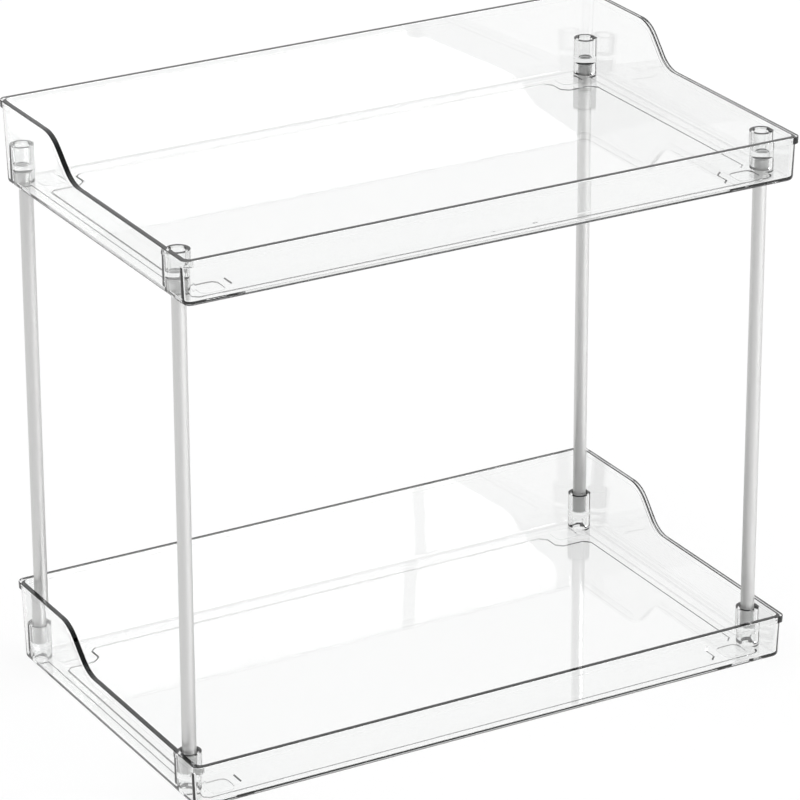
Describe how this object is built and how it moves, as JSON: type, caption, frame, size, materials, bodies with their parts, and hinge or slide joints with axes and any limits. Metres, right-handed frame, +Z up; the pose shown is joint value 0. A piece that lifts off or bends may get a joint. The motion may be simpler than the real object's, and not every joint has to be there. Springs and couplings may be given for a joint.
{
  "type": "two-tier shelf organiser",
  "caption": "Clear two-tier shelf organiser: a shallow tray with a high back and low front, held above a matching tray by round posts pushed into moulded corner sockets.",
  "frame": {"origin": "middle of the footprint at floor level, on the underside of the anti-slip pads", "axes": "+X to the right along the long side, +Y towards the high back wall, +Z up"},
  "size_m": [0.3056, 0.1776, 0.2731],
  "materials": {
    "clear_plastic": "polished clear",
    "post_metal": "satin",
    "pad_rubber": "clear, smooth"
  },
  "bodies": {
    "base": {"lower_tray": "clear_plastic", "foot_pad_front_left": "pad_rubber", "foot_pad_front_right": "pad_rubber", "foot_pad_rear_left": "pad_rubber", "foot_pad_rear_right": "pad_rubber"},
    "front_left_post": {"post_front_left": "post_metal"},
    "front_right_post": {"post_front_right": "post_metal"},
    "rear_left_post": {"post_rear_left": "post_metal"},
    "rear_right_post": {"post_rear_right": "post_metal"},
    "upper": {"upper_tray": "clear_plastic"}
  },
  "joints": [
    {"name": "front_left_post_pull", "type": "slide", "parent": "base", "child": "front_left_post", "axis": [0, 0, 1], "range_m": [0, 0.012]},
    {"name": "front_right_post_pull", "type": "slide", "parent": "base", "child": "front_right_post", "axis": [0, 0, 1], "range_m": [0, 0.012]},
    {"name": "rear_left_post_pull", "type": "slide", "parent": "base", "child": "rear_left_post", "axis": [0, 0, 1], "range_m": [0, 0.012]},
    {"name": "rear_right_post_pull", "type": "slide", "parent": "base", "child": "rear_right_post", "axis": [0, 0, 1], "range_m": [0, 0.012]},
    {"name": "upper_tray_lift", "type": "slide", "parent": "front_left_post", "child": "upper", "axis": [0, 0, 1], "range_m": [0, 0.01]}
  ],
  "couplings": [
    {"joint": "front_right_post_pull", "follows": "front_left_post_pull", "ratio": 1},
    {"joint": "rear_left_post_pull", "follows": "front_left_post_pull", "ratio": 1},
    {"joint": "rear_right_post_pull", "follows": "front_left_post_pull", "ratio": 1}
  ]
}
